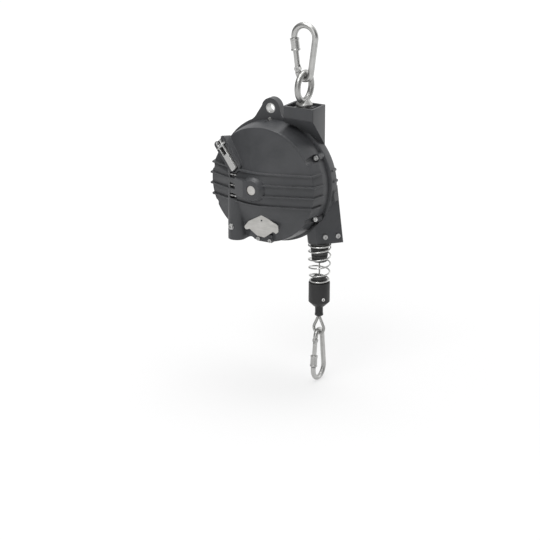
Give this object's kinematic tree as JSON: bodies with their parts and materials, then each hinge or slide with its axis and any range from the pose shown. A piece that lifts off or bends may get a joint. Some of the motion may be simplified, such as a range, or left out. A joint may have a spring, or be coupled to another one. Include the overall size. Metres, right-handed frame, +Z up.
{
  "type": "spring tool balancer",
  "caption": "Spring tool balancer: round ribbed cast housing with a swivel snap hook on top and a wire rope with a sprung buffer and snap hook below.",
  "frame": {"origin": "inner bearing point at the top of the upper snap hook", "axes": "+Z up along the swivel; +X right seen from the cover side; -Y towards the ribbed front cover"},
  "size_m": [0.222, 0.118, 0.6017],
  "materials": {
    "cast_housing": "satin, powder coated casting",
    "black_casting": "matt black",
    "plate_steel": "pale, satin",
    "zinc_steel": "zinc plated, satin",
    "bright_steel": "ground",
    "spring_steel": "drawn wire",
    "dark_bronze": "machined, oiled",
    "guide_nylon": "matt",
    "black_rubber": "matt",
    "drum_aluminium": "turned",
    "wire_rope": "stranded wire"
  },
  "bodies": {
    "housing": {"main_housing": "cast_housing", "front_cover": "cast_housing", "cover_screws": "zinc_steel", "outlet_screws": "zinc_steel", "lug_screw": "zinc_steel", "lug_bush": "zinc_steel", "front_bearing": "dark_bronze", "rear_bearing": "dark_bronze", "rope_guide": "guide_nylon", "buffer": "black_rubber", "buffer_spring": "spring_steel", "access_plate": "plate_steel", "latch_bolts": "zinc_steel", "column_bolt": "zinc_steel", "lock_studs": "zinc_steel", "lever_pin": "bright_steel", "plunger_guide": "dark_bronze", "worm_bushes": "dark_bronze", "thrust_washer": "zinc_steel"},
    "arbor": {"arbor_shaft": "bright_steel", "worm_wheel": "dark_bronze"},
    "worm_drive": {"worm": "bright_steel"},
    "drum": {"rope_drum": "drum_aluminium", "drum_bearings": "bright_steel", "spring_cover": "drum_aluminium", "mainspring": "spring_steel", "wound_rope": "wire_rope"},
    "rope_end": {"rope_run": "wire_rope", "rope_clamp": "black_casting", "cup_plug": "black_rubber", "clamp_screws": "zinc_steel", "thimble": "zinc_steel"},
    "swivel": {"swivel_eye": "zinc_steel", "swivel_nut": "zinc_steel"},
    "upper_hook": {"top_hook": "zinc_steel", "top_gate_pin": "zinc_steel"},
    "upper_gate": {"top_gate": "zinc_steel"},
    "upper_sleeve": {"top_sleeve": "zinc_steel"},
    "lower_hook": {"load_hook": "zinc_steel", "load_gate_pin": "zinc_steel"},
    "lower_gate": {"load_gate": "zinc_steel"},
    "lower_sleeve": {"load_sleeve": "zinc_steel"},
    "lever": {"lock_lever": "bright_steel", "lever_roller": "bright_steel"},
    "plunger": {"lock_plunger": "bright_steel"}
  },
  "joints": [
    {"name": "arbor_spin", "type": "hinge", "parent": "housing", "child": "arbor", "pos_m": [-0.0545, -0.039, -0.2555], "axis": [0, 1, 0], "continuous": true},
    {"name": "worm_spin", "type": "hinge", "parent": "housing", "child": "worm_drive", "pos_m": [-0.0995, -0.045, -0.2555], "axis": [0, 0, 1], "continuous": true},
    {"name": "drum_spin", "type": "hinge", "parent": "housing", "child": "drum", "pos_m": [-0.0545, -0.039, -0.2555], "axis": [0, 1, 0], "range_deg": [0, 1290], "stiffness_Nm_per_rad": 0.03, "springref_deg": -3437.75, "deforming": ["mainspring", "wound_rope"]},
    {"name": "rope_travel", "type": "slide", "parent": "housing", "child": "rope_end", "axis": [0, 0, -1], "range_m": [0, 1.9522], "deforming": ["rope_run"]},
    {"name": "swivel_turn", "type": "hinge", "parent": "housing", "child": "swivel", "pos_m": [0, 0, -0.0942], "axis": [0, 0, 1], "continuous": true},
    {"name": "upper_hook_swing", "type": "hinge", "parent": "swivel", "child": "upper_hook", "pos_m": [0, 0, -0.0705], "axis": [0, 1, 0], "range_deg": [-80, 80]},
    {"name": "upper_gate_swing", "type": "hinge", "parent": "upper_hook", "child": "upper_gate", "pos_m": [-0.01219, 0, -0.06608], "axis": [0, 1, 0], "range_deg": [0, 22], "stiffness_Nm_per_rad": 0.04, "springref_deg": -45.84},
    {"name": "upper_sleeve_slide", "type": "slide", "parent": "upper_gate", "child": "upper_sleeve", "axis": [0.1327, 0, -0.9912], "range_m": [-0.0035, 0.008]},
    {"name": "lower_hook_swing", "type": "hinge", "parent": "rope_end", "child": "lower_hook", "pos_m": [0.0289, 0.003, -0.5142], "axis": [1, 0, 0], "range_deg": [-70, 70]},
    {"name": "lower_gate_swing", "type": "hinge", "parent": "lower_hook", "child": "lower_gate", "pos_m": [0.0289, -0.00867, -0.51877], "axis": [1, 0, 0], "range_deg": [0, 22], "stiffness_Nm_per_rad": 0.03, "springref_deg": -45.84},
    {"name": "lower_sleeve_slide", "type": "slide", "parent": "lower_gate", "child": "lower_sleeve", "axis": [0, 0.1261, 0.992], "range_m": [-0.0042, 0.008]},
    {"name": "lever_lift", "type": "hinge", "parent": "housing", "child": "lever", "pos_m": [-0.125, -0.051, -0.1965], "axis": [-0.7071, 0, -0.7071], "range_deg": [0, 80]},
    {"name": "plunger_push", "type": "slide", "parent": "housing", "child": "plunger", "axis": [0, 1, 0], "range_m": [0, 0.004]}
  ],
  "couplings": [
    {"joint": "worm_spin", "follows": "arbor_spin", "ratio": -40},
    {"joint": "rope_travel", "follows": "drum_spin", "m_per_rad": 0.0867},
    {"joint": "plunger_push", "follows": "lever_lift", "m_per_rad": 0.002864}
  ]
}
